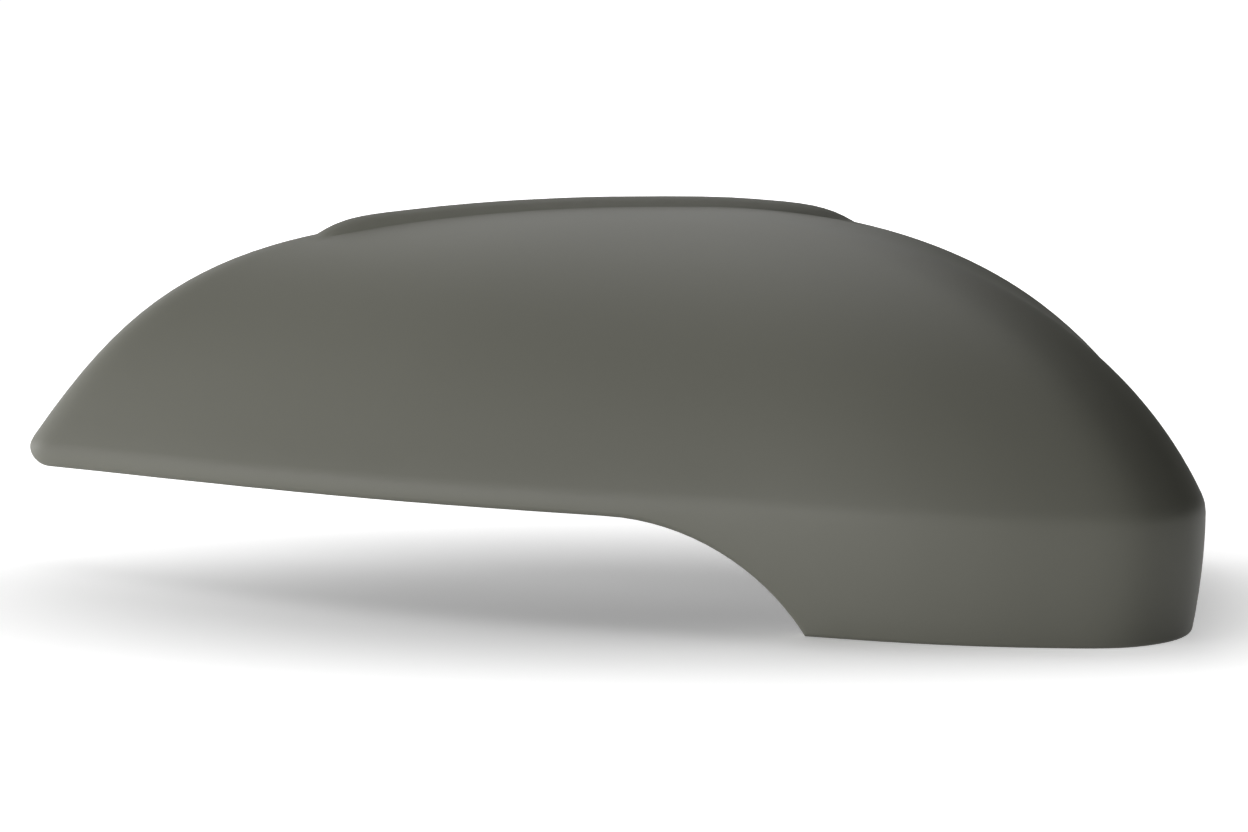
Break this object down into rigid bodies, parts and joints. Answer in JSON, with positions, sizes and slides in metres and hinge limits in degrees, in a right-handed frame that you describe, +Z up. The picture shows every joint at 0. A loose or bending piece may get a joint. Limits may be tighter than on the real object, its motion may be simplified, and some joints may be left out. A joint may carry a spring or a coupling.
{
  "type": "door mirror cap",
  "caption": "Primed outer cap of a car door mirror housing: a moulded shell with a lamp notch under its tip and a foot at its inner end.",
  "frame": {"origin": "on the axis of the main locating pin, at the pin's shoulder", "axes": "+X towards the foot at the inboard end, +Y rearward out of the open back, +Z up"},
  "size_m": [0.2178, 0.0891, 0.0696],
  "materials": {
    "primed_plastic": "satin grey primer on moulded plastic"
  },
  "bodies": {
    "root": {"mirror_cap": "primed_plastic"}
  },
  "joints": []
}
